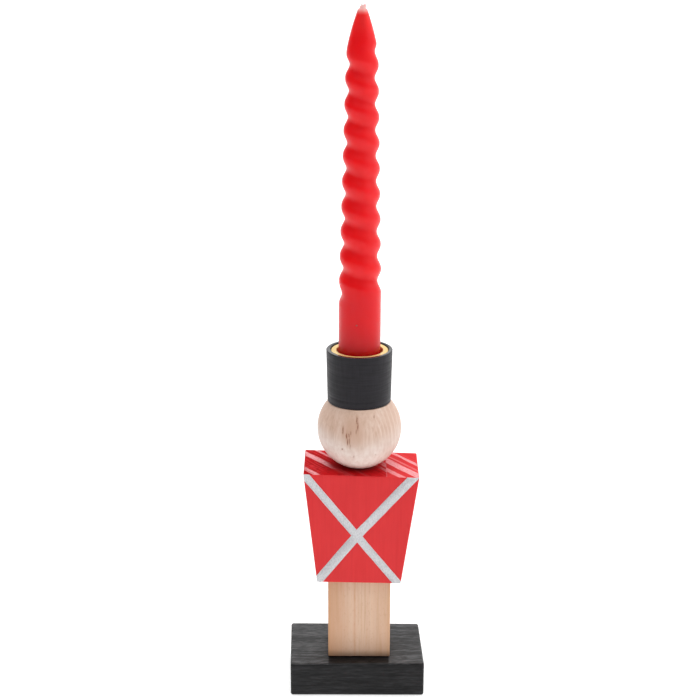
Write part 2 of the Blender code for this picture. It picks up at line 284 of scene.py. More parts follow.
class Shader:
    """Short calls that build one material's nodes. Uniform values go straight onto the shader's sockets."""

    def __init__(self, name, **uniform):
        self.material = bpy.data.materials.new(name)
        self.material.use_nodes = True
        self.tree = self.material.node_tree
        self.surface = self.tree.nodes["Principled BSDF"]
        for key, value in uniform.items():
            self.surface.inputs[SOCKETS[key]].default_value = value
        self.coordinates = self.tree.nodes.new("ShaderNodeTexCoord")

    def feed(self, socket, value):
        if isinstance(value, bpy.types.NodeSocket):
            self.tree.links.new(value, socket)
        elif isinstance(value, tuple) and socket.type == "RGBA":
            socket.default_value = (*value, 1.0)
        else:
            socket.default_value = value

    def node(self, kind, inputs, **settings):
        made = self.tree.nodes.new(kind)
        for key, value in settings.items():
            setattr(made, key, value)
        for key, value in inputs.items():
            self.feed(made.inputs[key], value)
        return made

    def point(self, scale=(1.0, 1.0, 1.0), turn=0.0):
        """Object coordinates in metres, turned about Z and then stretched."""
        inputs = {"Vector": self.coordinates.outputs["Object"], "Angle": turn}
        rotated = self.node("ShaderNodeVectorRotate", inputs, rotation_type="Z_AXIS").outputs["Vector"]
        return self.node("ShaderNodeMapping", {"Vector": rotated, "Scale": scale}).outputs["Vector"]

    def axes(self, turn=0.0):
        """X, Y and Z in metres, turned about Z."""
        return self.node("ShaderNodeSeparateXYZ", {"Vector": self.point(turn=turn)}).outputs

    def maths(self, operation, first, *others):
        """A function of one value, or an operation on the first two, then on its result and the next."""
        if not others:
            return self.node("ShaderNodeMath", {0: first}, operation=operation).outputs[0]
        for other in others:
            first = self.node("ShaderNodeMath", {0: first, 1: other}, operation=operation).outputs[0]
        return first

    def times(self, *values):
        return self.maths("MULTIPLY", *values)

    def plus(self, *values):
        return self.maths("ADD", *values)

    def minus(self, a, b):
        return self.maths("SUBTRACT", a, b)

    def strongest(self, *values):
        return self.maths("MAXIMUM", *values)

    def squares(self, a, b):
        """The sum of two values' squares."""
        return self.plus(self.times(a, a), self.times(b, b))

    def shared(self, a, b, part):
        """A mixture of two values, with this part of the first."""
        return self.plus(self.times(a, part), self.times(b, 1 - part))

    def ease(self, value, start, end, low=0.0, high=1.0):
        """low where value is at start, high where it is at end, and smooth between."""
        inputs = {"Value": value, "From Min": start, "From Max": end, "To Min": low, "To Max": high}
        return self.node("ShaderNodeMapRange", inputs, interpolation_type="SMOOTHSTEP").outputs["Result"]

    def stripe(self, value, centre, half_width, soft):
        """1 within half_width of centre, easing to 0 over soft."""
        away = self.maths("ABSOLUTE", self.minus(value, centre))
        return self.ease(away, half_width + soft, half_width)

    def noise(self, scale, detail=3.0, roughness=0.55, distortion=0.0, turn=0.0):
        """Noise about 0.5, with this many lumps to a metre along the turned X, Y and Z."""
        inputs = {"Vector": self.point(scale, turn), "Scale": 1.0, "Detail": detail}
        inputs |= {"Roughness": roughness, "Distortion": distortion}
        return self.node("ShaderNodeTexNoise", inputs).outputs["Fac"]

    def mix(self, factor, a, b):
        return self.node("ShaderNodeMix", {0: factor, 6: a, 7: b}, data_type="RGBA").outputs[2]

    def tinted(self, colour, *tints):
        """The colour under tints laid over it in turn: where each one is, its strength there, its tone."""
        for where, strength, tone in tints:
            colour = self.mix(self.times(where, strength), colour, tone)
        return colour

    def ramp(self, value, *stops):
        """A colour for the value, from its (value, colour) stops."""
        made = self.node("ShaderNodeValToRGB", {"Fac": value})
        elements = made.color_ramp.elements
        while len(elements) < len(stops):
            elements.new(0.5)
        for element, (position, colour) in zip(elements, stops):
            element.position = position
            element.color = (*colour, 1.0)
        return made.outputs["Color"]

    def done(self, colour, roughness, bump, depth, strength):
        """The finished material, with bumps of this depth where the bump value is high."""
        bumps = self.node("ShaderNodeBump", {"Height": bump, "Distance": depth, "Strength": strength})
        self.feed(self.surface.inputs["Base Color"], colour)
        self.feed(self.surface.inputs["Roughness"], roughness)
        self.feed(self.surface.inputs["Normal"], bumps.outputs["Normal"])
        return self.material


STAIN_DARK = (0.0035, 0.0035, 0.0040)
STAIN_MIDDLE = (0.0080, 0.0080, 0.0090)


def base_grain(m):
    """The base block's wood, whose grain runs along X: its fibre, and the fibre with the broader figure."""
    fibre = m.noise((170, 1500, 1500), 5.0, 0.6)
    figure = m.noise((18, 300, 300), 2.0, 0.5, 0.4)
    return fibre, m.shared(fibre, figure, 0.65)


def black_stain():
    """Black stain on the sides of the base block."""
    m = Shader("black_stain", specular=0.24)
    grain = base_grain(m)[1]
    colour = m.ramp(grain, (0.38, STAIN_DARK), (0.51, STAIN_MIDDLE), (0.66, (0.021, 0.021, 0.023)))
    return m.done(colour, m.ease(grain, 0.38, 0.62, 0.60, 0.30), grain, 0.22 * MM, 0.5)


def black_stain_top():
    """The same stain on the block's top, with paler grain as painted light on the top, worn along its front
    edge, and with painted shade in front of the leg, where the leg hides the reflected light.
    """
    m = Shader("black_stain_top", specular=0.50)
    fibre, grain = base_grain(m)
    x, y, _ = m.axes()
    # Its grain is paler than on the sides: painted light on the top.
    colour = m.ramp(grain, (0.42, STAIN_DARK), (0.51, STAIN_MIDDLE), (0.60, (0.060, 0.060, 0.064)))
    depth = m.plus(y, m.times(m.noise((25, 90, 90), 2.0), 1.6 * MM))
    worn = m.times(m.ease(depth, -15 * MM, -17 * MM), m.ease(fibre, 0.3, 0.62))
    # Painted shade in front of the leg, where the leg hides the bright reflection; the specular is lowered
    # there too.
    leg_shade = m.times(m.stripe(x, STACK_X, 16.4 * MM, 0.8 * MM), m.ease(depth, -12 * MM, -14 * MM))
    colour = m.tinted(colour, (worn, 0.35, (0.045, 0.045, 0.047)), (leg_shade, 0.8, (0.0050, 0.0045, 0.0045)))
    m.feed(m.surface.inputs["Specular IOR Level"], m.ease(leg_shade, 0.0, 1.0, 0.50, 0.20))
    return m.done(colour, m.ease(grain, 0.38, 0.62, 0.60, 0.30), grain, 0.45 * MM, 0.5)


def pine():
    """Bare sanded pine with upright grain, browner edges, painted shade darkening it towards its foot, and
    a resin line down its front.
    """
    m = Shader("bare_pine", specular=0.4)
    x, _, z = m.axes()
    fibre = m.noise((1300, 1300, 40), 4.0)
    rings = m.noise((190, 60, 5), 2.0, 0.5, 0.5)
    streaks = m.noise((700, 700, 22), 4.0, 0.6)
    mottle = m.noise((800, 800, 420), 3.0, 0.6)
    wobble = m.times(m.noise((0, 0, 60), 2.0), 1.0 * MM)
    resin = m.stripe(m.plus(x, wobble), -0.9 * MM, 0.15 * MM, 0.55 * MM)
    resin = m.times(resin, m.ease(m.noise((0, 0, 120), 2.0), 0.35, 0.6, 0.25, 1.0))
    from_middle = m.maths("ABSOLUTE", m.minus(x, STACK_X))
    dark, middle, light = (0.715, 0.450, 0.300), (0.745, 0.485, 0.330), (0.775, 0.525, 0.370)
    colour = m.tinted(
        m.ramp(rings, (0.30, dark), (0.50, middle), (0.68, light)),
        (m.ease(fibre, 0.32, 0.66), 0.38, (0.76, 0.570, 0.455)),
        (m.ease(streaks, 0.50, 0.64), 0.50, (0.63, 0.37, 0.22)),
        (m.ease(mottle, 0.54, 0.68), 0.30, (0.58, 0.32, 0.19)),
        (m.ease(x, -3 * MM, -15 * MM), 0.7, (0.63, 0.33, 0.18)),
        (resin, 0.36, (0.60, 0.22, 0.10)),
        (m.ease(from_middle, 15.2 * MM, 17.0 * MM), 0.45, (0.66, 0.33, 0.15)),
        (m.ease(x, 6 * MM, 14 * MM), 0.30, (0.66, 0.36, 0.20)),
        # Painted shade towards the foot, above the dark base; the last few millimetres are darker still,
        # partly painted shade and partly stain from the base.
        (m.ease(z, 40 * MM, 21 * MM), 0.34, (0.36, 0.18, 0.09)),
        (m.ease(z, 25.5 * MM, 21.5 * MM), 0.38, (0.16, 0.085, 0.05)),
    )
    return m.done(colour, m.ease(fibre, 0.3, 0.7, 0.62, 0.48), fibre, 0.08 * MM, 0.5)


# Pale growth rings on top of the torso: (distance along the ring normal, half width, strength), the first
# two in millimetres, for the two boards that its block is glued from.
RING_TURN = math.radians(-38.5)
BOARD_JOINT_MM = 15.6
LEFT_RINGS_MM = ((-28.6, 1.1, 0.85), (-14.4, 1.7, 1.0), (-6.4, 0.5, 0.8), (6.6, 0.8, 0.5), (11.0, 1.3, 0.6))
RIGHT_RINGS_MM = ((7.8, 1.2, 0.75), (16.1, 2.0, 1.0), (26.0, 0.6, 0.95), (20.8, 0.3, 0.35))


def red_paint():
    """Thin red paint on the torso's sides, with the upright grain of the wood under it."""
    m = Shader("red_paint", specular=0.45)
    upright = m.noise((900, 900, 30), 4.0)
    cloud = m.noise((60, 60, 40), 2.0)
    tone = m.shared(upright, cloud, 0.5)
    colour = m.ramp(tone, (0.36, (0.690, 0.0045, 0.0085)), (0.62, (0.745, 0.0070, 0.0110)))
    return m.done(colour, m.ease(upright, 0.3, 0.7, 0.50, 0.40), upright, 0.12 * MM, 0.45)


def red_end_grain():
    """The same paint soaked into end grain, with the two boards' pale growth rings showing through it, and
    a painted shadow round the foot of the ball.
    """
    m = Shader("red_end_grain", specular=0.04)
    x, y, _ = m.axes()
    bend = m.times(m.noise((30, 30, 0), 1.0), 2.2 * MM)
    ragged = m.times(m.noise((700, 160, 0), 3.0, 0.6, turn=RING_TURN), 1.2 * MM)
    along = m.plus(m.axes(RING_TURN)[0], bend, ragged, -1.7 * MM)
    streaks = m.noise((1500, 60, 0), 4.0, 0.6, turn=RING_TURN)
    pores = m.noise((2600, 500, 0), 2.0, 0.6, turn=RING_TURN)

    def rings(table):
        stripes = []
        for centre, half, strength in table:
            stripes.append(m.times(m.stripe(along, centre * MM, half * MM, 0.8 * MM), strength))
        return m.strongest(*stripes)

    right = m.ease(x, (BOARD_JOINT_MM - 0.1) * MM, (BOARD_JOINT_MM + 0.1) * MM)
    pale = m.plus(m.times(rings(LEFT_RINGS_MM), m.minus(1.0, right)), m.times(rings(RIGHT_RINGS_MM), right))
    pale = m.times(pale, m.ease(streaks, 0.34, 0.52, 0.40, 1.0), m.ease(pores, 0.32, 0.54, 0.40, 1.0))
    # The rings are under more paint round the ball and along the front.
    from_axis = m.minus(x, STACK_X)
    spread = m.squares(from_axis, y)
    nearby = m.plus(spread, m.times(from_axis, 4 * MM))
    front = m.times(m.ease(y, -5 * MM, -10 * MM), m.stripe(x, -3 * MM, 14 * MM, 6 * MM))
    plain = m.strongest(front, m.ease(nearby, (16.3 * MM) ** 2, (12.3 * MM) ** 2))
    pale = m.times(pale, m.minus(1.0, m.times(plain, 0.92)))
    blotch = m.ease(m.noise((330, 330, 0), 3.0, 0.6), 0.50, 0.66)
    # Painted shadow on the top round the foot of the ball.
    ball_shadow = m.ease(spread, (11 * MM) ** 2, (7 * MM) ** 2)
    joint = m.stripe(x, BOARD_JOINT_MM * MM, 0.05 * MM, 0.25 * MM)
    dark, middle, light = (0.33, 0.0045, 0.0060), (0.52, 0.0090, 0.0120), (0.70, 0.050, 0.058)
    colour = m.tinted(
        m.ramp(streaks, (0.38, dark), (0.49, middle), (0.65, light)),
        (plain, 0.7, (0.58, 0.0070, 0.0105)),
        (blotch, 0.5, (0.30, 0.0045, 0.0065)),
        (right, 0.6, (0.78, 0.060, 0.066)),
        (pale, 0.95, (0.93, 0.47, 0.50)),
        (ball_shadow, 0.7, (0.34, 0.10, 0.09)),
        (joint, 0.35, (0.86, 0.36, 0.42)),
    )
    return m.done(colour, 0.85, streaks, 0.12 * MM, 0.45)


def belt_grey():
    """Pale grey paint with the fine tooth of the wood under it."""
    m = Shader("belt_grey", specular=0.4)
    tooth = m.noise((2000, 2000, 1100), 3.0, 0.6)
    cloud = m.noise((130, 130, 90), 2.0)
    tone = m.shared(tooth, cloud, 0.90)
    colour = m.ramp(tone, (0.36, (0.54, 0.54, 0.565)), (0.62, (0.73, 0.73, 0.75)))
    return m.done(colour, m.ease(tooth, 0.3, 0.7, 0.60, 0.48), tooth, 0.10 * MM, 0.5)


# Brown flecks on the front of the head: (right of its middle, above it, half length, strength), the first
# three in millimetres.
FLECKS_MM = (
    (-8.9, 5.0, 2.0, 0.75),
    (-1.4, 10.4, 1.6, 0.9),
    (-0.8, 7.6, 2.2, 0.8),
    (-1.6, 4.9, 1.4, 0.45),
    (-6.9, 2.2, 1.5, 0.85),
    (-6.5, -1.2, 1.9, 0.8),
    (-5.7, 2.6, 1.1, 0.6),
    (-5.4, -0.6, 1.8, 0.65),
    (-4.7, 3.9, 1.0, 0.55),
    (-4.9, -3.8, 1.4, 0.45),
    (-9.4, -5.8, 0.5, 0.7),
    (-3.0, -9.9, 0.9, 0.4),
    (7.7, 11.8, 0.7, 0.65),
    (8.6, -9.3, 0.4, 0.4),
)
FLECK_HALF_WIDTH_MM = 0.34


def pale_wood(centre):
    """Pale turned wood, browner in the middle of its front, with arcs of grain and a few brown flecks;
    paler low down as painted floor light, and browner high up as painted shade under the hat.
    """
    m = Shader("pale_wood", specular=0.4)
    x, y, z = m.axes()
    right, up = m.minus(x, centre.x), m.minus(z, centre.z)
    front = m.ease(y, 0.0, -6 * MM)

    def around(value, middle_x, middle_z, half_x, half_z):
        """The square of the distance from a spot on the front, given in millimetres: 1 on its ellipse."""
        across = m.maths("DIVIDE", m.minus(value, middle_x * MM), half_x * MM)
        return m.squares(across, m.maths("DIVIDE", m.minus(up, middle_z * MM), half_z * MM))

    fibre = m.noise((900, 900, 40), 4.0, 0.6)
    broad = m.noise((130, 130, 14), 2.0)
    mottle = m.noise((420, 420, 300), 3.0, 0.6)
    floor_lit_cream = m.ramp(mottle, (0.36, (0.73, 0.59, 0.53)), (0.60, (0.82, 0.715, 0.66)))
    drop = m.plus(up, m.times(m.maths("ABSOLUTE", right), -0.3))
    heart = m.plus(m.ease(around(right, -4.0, 3.0, 7.5, 9.5), 1.3, 0.1), m.times(fibre, 2.2), -1.35)
    wander = m.times(m.noise((70, 70, 40), 2.0), 3.0)
    arcs = m.plus(m.times(m.maths("SQRT", around(right, -8.0, -4.0, 1.0, 1.25)), 3.4), wander)
    arcs = m.times(m.ease(m.maths("SINE", arcs), 0.2, 1.0), m.ease(right, 4 * MM, 11 * MM), front)
    brown, middle, pale = (0.57, 0.370, 0.270), (0.68, 0.475, 0.375), (0.78, 0.61, 0.52)
    colour = m.tinted(
        m.ramp(m.shared(fibre, broad, 0.55), (0.34, brown), (0.49, middle), (0.64, pale)),
        # Painted light from the floor on the lower half of the ball.
        (m.ease(drop, 1 * MM, -10 * MM), 0.75, floor_lit_cream),
        # Painted shade under the hat on the upper part of the ball.
        (m.ease(up, 2 * MM, 12 * MM), 0.45, (0.66, 0.455, 0.350)),
        (m.times(m.ease(heart, 0.0, 1.0), front), 0.45, (0.55, 0.325, 0.225)),
        (m.ease(right, 8 * MM, 17 * MM), 0.40, (0.60, 0.410, 0.320)),
        (arcs, 0.22, (0.84, 0.72, 0.65)),
    )

    wave = m.times(m.noise((200, 200, 170), 2.0), 1.4 * MM)
    waved = m.plus(right, wave, -0.7 * MM)
    cores, halos = [], []
    for middle_x, middle_z, half_length, strength in FLECKS_MM:
        reach = around(waved, middle_x, middle_z, FLECK_HALF_WIDTH_MM, half_length)
        cores.append(m.times(m.ease(reach, 1.8, 0.2), strength))
        halos.append(m.times(m.ease(reach, 9.0, 0.5), 0.30 * strength))
    thin = m.noise((2600, 2600, 160), 2.0, 0.6)
    small = m.noise((900, 900, 180), 2.0, 0.5)
    stray = m.times(m.ease(small, 0.70, 0.78), 0.30)
    mark = m.times(m.strongest(*cores), m.ease(thin, 0.34, 0.56, 0.35, 1.0), front)
    colour = m.mix(m.times(m.strongest(stray, *halos), front), colour, (0.46, 0.22, 0.13))
    colour = m.mix(mark, colour, (0.24, 0.070, 0.030))
    return m.done(colour, m.ease(fibre, 0.3, 0.7, 0.58, 0.44), fibre, 0.06 * MM, 0.5)


def black_paint(name, specular, rough, smooth):
    """Black paint on a turned block, with faint tool marks round it and the grain up it."""
    m = Shader(name, specular=specular)
    turning = m.noise((60, 60, 1500), 3.0, 0.6)
    grain = m.noise((1100, 1100, 120), 3.0, 0.6)
    tone = m.shared(turning, grain, 0.65)
    colour = m.ramp(tone, (0.36, (0.0060, 0.0050, 0.0075)), (0.66, (0.0120, 0.0100, 0.0150)))
    return m.done(colour, m.ease(tone, 0.35, 0.65, rough, smooth), tone, 0.07 * MM, 0.5)


def brass():
    m = Shader("satin_brass", metallic=0.4, specular=0.5)
    scratches = m.noise((500, 500, 3500))
    cloud = m.noise((150, 150, 150), 2.0)
    colour = m.ramp(cloud, (0.35, (0.94, 0.68, 0.24)), (0.65, (0.98, 0.77, 0.35)))
    return m.done(colour, m.ease(scratches, 0.3, 0.7, 0.34, 0.46), scratches, 0.02 * MM, 0.3)


def red_wax(foot_z):
    """Solid red wax, with painted light making it brighter and paler up its thin tip, painted shade
    darkening it towards the cup, and one speck of ash low on its front.
    """
    m = Shader("red_wax", specular=0.26, subsurface=1.0, subsurface_radius=(1.0, 0.025, 0.020))
    x, y, z = m.axes()
    height = m.minus(z, foot_z)
    cloud = m.noise((140, 140, 90))
    fine = m.noise((900, 900, 700), 2.0)
    # Light spreads less far in the thin wax of the tip.
    scatter = m.ease(height, CANDLE_LENGTH - 7 * MM, CANDLE_LENGTH, 22 * MM, 1.5 * MM)
    m.feed(m.surface.inputs["Subsurface Scale"], scatter)
    off_x, off_z = m.minus(x, CANDLE_X + SPECK_RIGHT), m.minus(height, SPECK_UP)
    speck = m.ease(m.squares(off_x, off_z), (0.65 * MM) ** 2, (0.3 * MM) ** 2)
    colour = m.tinted(
        m.ramp(cloud, (0.34, (0.700, 0.0035, 0.0080)), (0.66, (0.745, 0.0055, 0.0105))),
        # Painted shade: darker down the plain foot and more so near the cup, where the cup and hat rim hide
        # the light.
        (m.ease(height, 58 * MM, 44 * MM), 1.0, (0.655, 0.0028, 0.0085)),
        (m.ease(height, 38 * MM, 17 * MM), 0.60, (0.47, 0.0025, 0.0060)),
        # Painted light: brighter red up the thin tip, and pale pink at its very end, where light comes
        # through the thin wax.
        (m.ease(height, CANDLE_LENGTH - 15 * MM, CANDLE_LENGTH), 0.60, (0.98, 0.040, 0.036)),
        (m.ease(height, CANDLE_LENGTH - 2.6 * MM, CANDLE_LENGTH + 1.6 * MM), 1.0, (1.0, 0.56, 0.53)),
        (m.times(speck, m.ease(y, 0.0, -4 * MM)), 0.7, (0.20, 0.12, 0.10)),
    )
    return m.done(colour, m.ease(fine, 0.3, 0.7, 0.40, 0.30), cloud, 0.15 * MM, 0.35)


def cotton(foot_z):
    """Waxed cotton: red near the wax and pale at its cut end."""
    translucent = {"subsurface": 1.0, "subsurface_radius": (1.0, 0.7, 0.65), "subsurface_scale": 1.5 * MM}
    m = Shader("waxed_cotton", specular=0.3, **translucent)
    fibres = m.noise((3000, 3000, 900))
    height = m.minus(m.axes()[2], foot_z)
    soaked = m.ease(height, CANDLE_LENGTH + 1.8 * MM, CANDLE_LENGTH + 0.8 * MM)
    colour = m.ramp(fibres, (0.35, (0.88, 0.66, 0.64)), (0.62, (0.99, 0.86, 0.83)))
    colour = m.tinted(colour, (soaked, 0.7, (0.98, 0.38, 0.36)))
    return m.done(colour, 0.8, fibres, 0.08 * MM, 0.6)


def beech():
    m = Shader("beech_dowel", specular=0.4)
    fibre = m.noise((1600, 1600, 60), 4.0)
    flakes = m.noise((900, 900, 350), 2.0)
    colour = m.ramp(fibre, (0.35, (0.50, 0.33, 0.20)), (0.62, (0.64, 0.46, 0.30)))
    colour = m.tinted(colour, (m.ease(flakes, 0.62, 0.72), 0.35, (0.36, 0.20, 0.11)))
    return m.done(colour, 0.62, fibre, 0.08 * MM, 0.4)


def zinc():
    m = Shader("zinc_steel", metallic=1.0)
    cloud = m.noise((500, 500, 500))
    colour = m.ramp(cloud, (0.35, (0.50, 0.52, 0.54)), (0.65, (0.63, 0.64, 0.64)))
    return m.done(colour, m.ease(cloud, 0.3, 0.7, 0.42, 0.28), cloud, 0.03 * MM, 0.3)


# ---- holder


def dowel_hole(name):
    """A cutter with the usual gap round a CAD dowel."""
    x, radius, foot, top = round_node(name)
    return turned([(radius + GAP, foot - GAP), (radius + GAP, top + GAP)], 32, x)


def base_screw_hole(name):
    """A cutter for one countersunk screw, from under the base to past the screw's tip."""
    x, head, foot, tip = round_node(name)
    shank = BASE_SCREW_SHANK + GAP
    countersink = foot + GAP + head - BASE_SCREW_SHANK
    profile = [(head + GAP, -1 * MM), (head + GAP, foot + GAP), (shank, countersink), (shank, tip + GAP)]
    return turned(profile, 32, x)


def cup_screw_hole():
    """A cutter for the screw that goes down through the cup and the hat into the head."""
    tip, top = round_node("cup_screw")[2:]
    return turned([(CUP_SCREW_SHANK + GAP, tip - GAP), (CUP_SCREW_SHANK + GAP, top + GAP)], 32)


def make_base():
    low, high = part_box("base_block")
    size = high - low
    shape = block(size, 1.2 * MM, 1.4 * MM, 0.35 * MM)
    for vertex in shape.verts:
        right, back, up = [c / side + 0.5 for c, side in zip(vertex.co, size)]
        vertex.co.x += (right - 0.3) * BASE_WIDER - back * BASE_SHEAR
        vertex.co.y += (back - 0.28) * BASE_DEEPER
        vertex.co.z += up * (right - 0.5) * (1 - 1.3 * back) * BASE_TWIST
    shape.transform(Matrix.Translation((low + high) / 2))
    split_top(shape, UP)
    obj = add_object("base_wood", shape, black_stain())
    obj.data.materials.append(black_stain_top())
    cut(obj, [base_screw_hole(name) for name in BASE_SCREWS])
    place(obj, "holder", "black_stained_wood", "base_block")


def make_leg():
    """The leg block, whose top is cut square to the leaning torso."""
    low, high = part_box("leg_block")
    width, depth = high.x - low.x + LEG_WIDER, high.y - low.y
    drop = width / 2 * math.tan(TORSO_LEAN)
    height = high.z - low.z - drop
    shape = block((width, depth, height), 0.6 * MM, 1.2 * MM, 0.15 * MM)
    for vertex in shape.verts:
        rise = max(vertex.co.z, 0.0) / (height / 2)
        vertex.co.z -= rise * vertex.co.x * math.tan(TORSO_LEAN)
    shape.transform(Matrix.Translation((STACK_X + LEG_SHIFT, 0, low.z + height / 2)))
    obj = add_object("leg_wood", shape, pine())
    cut(obj, [base_screw_hole(name) for name in BASE_SCREWS] + [dowel_hole(name) for name in LEG_DOWELS])
    place(obj, "holder", "natural_pine", "leg_block")


def torso_frame():
    """From the torso's own frame, which stands on the middle of its foot, to the world."""
    low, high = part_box("leg_block")
    rise = (high.x - low.x) / 2 * math.tan(TORSO_LEAN)  # of the leg's left corner above its middle
    return Matrix.Translation((STACK_X, 0, high.z - rise + GAP)) @ Matrix.Rotation(TORSO_LEAN, 4, "Y")


def torso_half_width(height):
    share = height / TORSO_HEIGHT
    return (TORSO_BOTTOM_WIDTH * (1 - share) + TORSO_TOP_WIDTH * share) / 2


def out_of_square(spot):
    """Where sawing moved a point of the torso: its top is higher on the left and its front leans back."""
    share = spot.z / TORSO_HEIGHT
    lift = share * (0.25 - spot.x / TORSO_TOP_WIDTH) * TORSO_LIFT
    back = (share - 0.3) * (0.5 - spot.y / TORSO_DEPTH) * TORSO_BACK
    return spot + Vector((0, back, lift))


def make_torso():
    """The tapered block, with its end grain on its top and foot."""
    size = (TORSO_BOTTOM_WIDTH, TORSO_DEPTH, TORSO_HEIGHT)
    shape = block(size, TORSO_EDGE, 1.2 * MM, 0.12 * MM)
    for vertex in shape.verts:
        vertex.co.z += TORSO_HEIGHT / 2
        vertex.co.x *= 2 * torso_half_width(vertex.co.z) / TORSO_BOTTOM_WIDTH
        vertex.co = out_of_square(vertex.co)
    shape.transform(torso_frame())
    split_top(shape, torso_frame().to_3x3() @ UP)
    obj = add_object("torso_wood", shape, red_paint())
    obj.data.materials.append(red_end_grain())
    cut(obj, [dowel_hole(name) for name in (*LEG_DOWELS, "neck_dowel")])
    place(obj, "holder", "red_painted_wood", "torso_block")


# The crossed belts, in the torso's frame: where they cross, and where each arm's middle line leaves the
# front face, with its width. They are (right, up) pairs in millimetres, going round clockwise.
BELT_CROSSING_MM = (-1.7, 27.9)
BELT_ARMS_MM = (
    ((-31.0, 62.7), 4.4),
    ((28.1, 62.7), 5.0),
    ((21.5, 0.0), 4.4),
    ((-23.3, 0.0), 5.0),
)


def line_meet(point_a, along_a, point_b, along_b):
    """Where two lines in a plane meet."""
    cross = along_a.x * along_b.y - along_a.y * along_b.x
    away = point_b - point_a
    return point_a + along_a * ((away.x * along_b.y - away.y * along_b.x) / cross)


def belt_outline():
    """Corners of the X of both belts, clockwise, with arms that run past the face."""
    centre = Vector(BELT_CROSSING_MM) * MM
    arms = []
    for end, width in BELT_ARMS_MM:
        along = (Vector(end) * MM - centre).normalized()
        left = Vector((-along.y, along.x)) * width * MM / 2
        arms.append((along, left))
    corners = []
    for i, (along, left) in enumerate(arms):
        next_along, next_left = arms[(i + 1) % len(arms)]
        far = centre + along * 60 * MM
        inner = line_meet(centre - left, along, centre + next_left, next_along)
        corners += [far + left, far - left, inner]
    return corners


def make_belts():
    """One film of paint that follows the torso's front face and wraps a little over its round edges."""
    shape = bmesh.new()
    shape.faces.new([shape.verts.new((p.x, 0, p.y)) for p in belt_outline()])
    shape.normal_update()
    bmesh.ops.triangulate(shape, faces=shape.faces[:])
    slope = (TORSO_TOP_WIDTH - TORSO_BOTTOM_WIDTH) / 2 / TORSO_HEIGHT
    sides = [
        (Vector((0, 0, 0)), Vector((0, 0, -1))),
        (Vector((0, 0, TORSO_HEIGHT)), UP),
        (Vector((torso_half_width(0), 0, 0)), Vector((1, 0, -slope)).normalized()),
        (Vector((-torso_half_width(0), 0, 0)), Vector((-1, 0, -slope)).normalized()),
    ]

    def slice_at(point, normal, clear=False):
        geometry = shape.verts[:] + shape.edges[:] + shape.faces[:]
        bmesh.ops.bisect_plane(
            shape, geom=geometry, dist=1e-8, plane_co=point, plane_no=normal, clear_outer=clear
        )

    for point, normal in sides:
        slice_at(point - normal * TORSO_EDGE * 0.12, normal, clear=True)
        for share in (0.3, 0.5, 0.75, 1.0):
            slice_at(point - normal * TORSO_EDGE * share, normal)
    rows = round(TORSO_HEIGHT / (0.9 * MM))
    for height in even(0, TORSO_HEIGHT, rows)[1:-1]:
        slice_at(Vector((0, 0, height)), UP)

    for vertex in shape.verts:
        spot = vertex.co.copy()
        beyond = [max((spot - point).dot(normal) + TORSO_EDGE, 0.0) for point, normal in sides]
        over = min(math.hypot(*beyond), TORSO_EDGE)
        drop = TORSO_EDGE - math.sqrt(TORSO_EDGE**2 - over**2)
        inside = 1 - smooth_step(over / TORSO_EDGE)
        vertex.co.x += inside * 0.16 * MM * ripple(spot, 7 * MM, 1)
        vertex.co.z += inside * 0.16 * MM * ripple(spot, 7 * MM, 2)
        vertex.co.y = -TORSO_DEPTH / 2 + drop - BELT_SPREAD
        vertex.co = out_of_square(vertex.co)
    shape.normal_update()
    if shape.faces[:][0].normal.y > 0:
        bmesh.ops.reverse_faces(shape, faces=shape.faces)
    shape.transform(torso_frame())
    obj = add_object("belt_paint", shape, belt_grey())
    skin = obj.modifiers.new("film", "SOLIDIFY")
    skin.thickness = BELT_FILM
    skin.offset = -1
    bake_modifiers(obj)
    place(obj, "holder", "red_painted_wood")


def make_head():
    """The ball, a little fuller than its CAD sphere, most of all low down."""
    _, radius, foot, crown = round_node("head_ball")
    centre = Vector((STACK_X, 0, crown - math.sqrt(radius**2 - HAT_FOOT_RADIUS**2)))
    full = radius + HEAD_FULLER
    middle = centre - Vector((0, 0, HEAD_LOWER))
    bottom, top = [math.asin((z - middle.z) / full) for z in (foot, crown)]
    shape = turned(arc((0, middle.z), full, bottom, top, 96))
    for vertex in shape.verts:
        if foot + 0.1 * MM < vertex.co.z < crown - 0.1 * MM:
            out = (vertex.co - middle).normalized()
            vertex.co -= out * 0.05 * MM * (1 + ripple(vertex.co, 9 * MM, 5))
    obj = add_object("head_wood", shape, pale_wood(centre))
    cut(obj, [dowel_hole("neck_dowel"), cup_screw_hole()])
    place(obj, "holder", "pale_wood", "head_ball")


